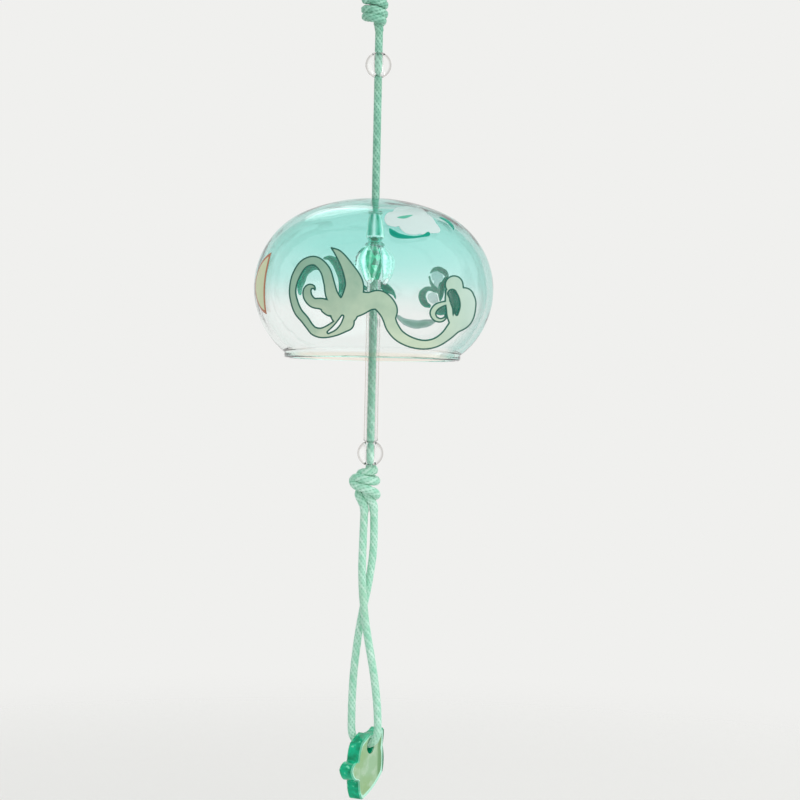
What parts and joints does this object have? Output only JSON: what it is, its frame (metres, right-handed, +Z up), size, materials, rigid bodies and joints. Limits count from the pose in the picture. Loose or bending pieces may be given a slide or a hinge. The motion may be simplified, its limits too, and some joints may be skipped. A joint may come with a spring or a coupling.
{
  "type": "wind bell",
  "caption": "Hanging glass wind bell with a threaded flower clapper and striking tube, round beads, wound cord knots and a lobed charm on a cord loop.",
  "frame": {"origin": "the point of the hook that the hanging loop's bight bears on", "axes": "+Z up along the hanging cord, +X to the right and +Y to the back as the picture shows the bell; the part hangs at rest from its loop"},
  "size_m": [0.0804, 0.0804, 0.3199],
  "materials": {
    "cord": "round braided cord with a soft sheen",
    "bell_glass": "thin blown glass, turquoise fading to clear, with a painted cloud scroll",
    "bead_glass": "polished clear glass",
    "calyx_glass": "polished yellow-green glass",
    "petal_glass": "polished clear glass",
    "drop_glass": "faceted emerald glass",
    "tube_glass": "clear glass tube with fire-polished ends",
    "charm_plate": "translucent emerald acrylic with polished edges",
    "charm_print": "printed film under a clear gloss"
  },
  "bodies": {
    "hanger": {"hanging_loop": "cord"},
    "top_knot": {"hanging_knot": "cord"},
    "line": {"upper_cord": "cord", "top_bead": "bead_glass"},
    "bell": {"bell_glass": "bell_glass"},
    "stopper": {"calyx_bead": "calyx_glass", "stopper_cord": "cord"},
    "clapper": {"petal_cup": "petal_glass", "crystal_drop": "drop_glass", "clapper_cord": "cord", "clapper_tube": "tube_glass", "lower_bead": "bead_glass"},
    "tail": {"lower_knot": "cord"},
    "pendant": {"charm_loop": "cord"},
    "charm": {"charm_slab": "charm_plate", "charm_face": "charm_print"}
  },
  "joints": [
    {"name": "loop_rock", "type": "hinge", "parent": "hanger", "child": "top_knot", "pos_m": [0, 0, -0.04], "axis": [1, 0, 0], "range_deg": [-45, 45]},
    {"name": "line_swing", "type": "hinge", "parent": "top_knot", "child": "line", "pos_m": [0, 0, -0.05933], "axis": [0, 1, 0], "range_deg": [-45, 45]},
    {"name": "bell_rock", "type": "hinge", "parent": "line", "child": "bell", "pos_m": [0, 0, -0.11728], "axis": [1, 0, 0], "range_deg": [-15, 15]},
    {"name": "stopper_turn", "type": "hinge", "parent": "bell", "child": "stopper", "pos_m": [0, 0, -0.12903], "axis": [0, 0, 1], "continuous": true},
    {"name": "clapper_swing", "type": "hinge", "parent": "stopper", "child": "clapper", "pos_m": [0, 0, -0.12903], "axis": [0, 1, 0], "range_deg": [-30, 30]},
    {"name": "pendant_twist", "type": "hinge", "parent": "clapper", "child": "tail", "pos_m": [0, 0, -0.20622], "axis": [0, 0, 1], "continuous": true},
    {"name": "pendant_swing", "type": "hinge", "parent": "tail", "child": "pendant", "pos_m": [0, 0, -0.22108], "axis": [1, 0, 0], "range_deg": [-60, 60]},
    {"name": "charm_swing", "type": "hinge", "parent": "pendant", "child": "charm", "pos_m": [0, 0, -0.29953], "axis": [0.8829, -0.4695, 0], "range_deg": [-30, 30]}
  ]
}
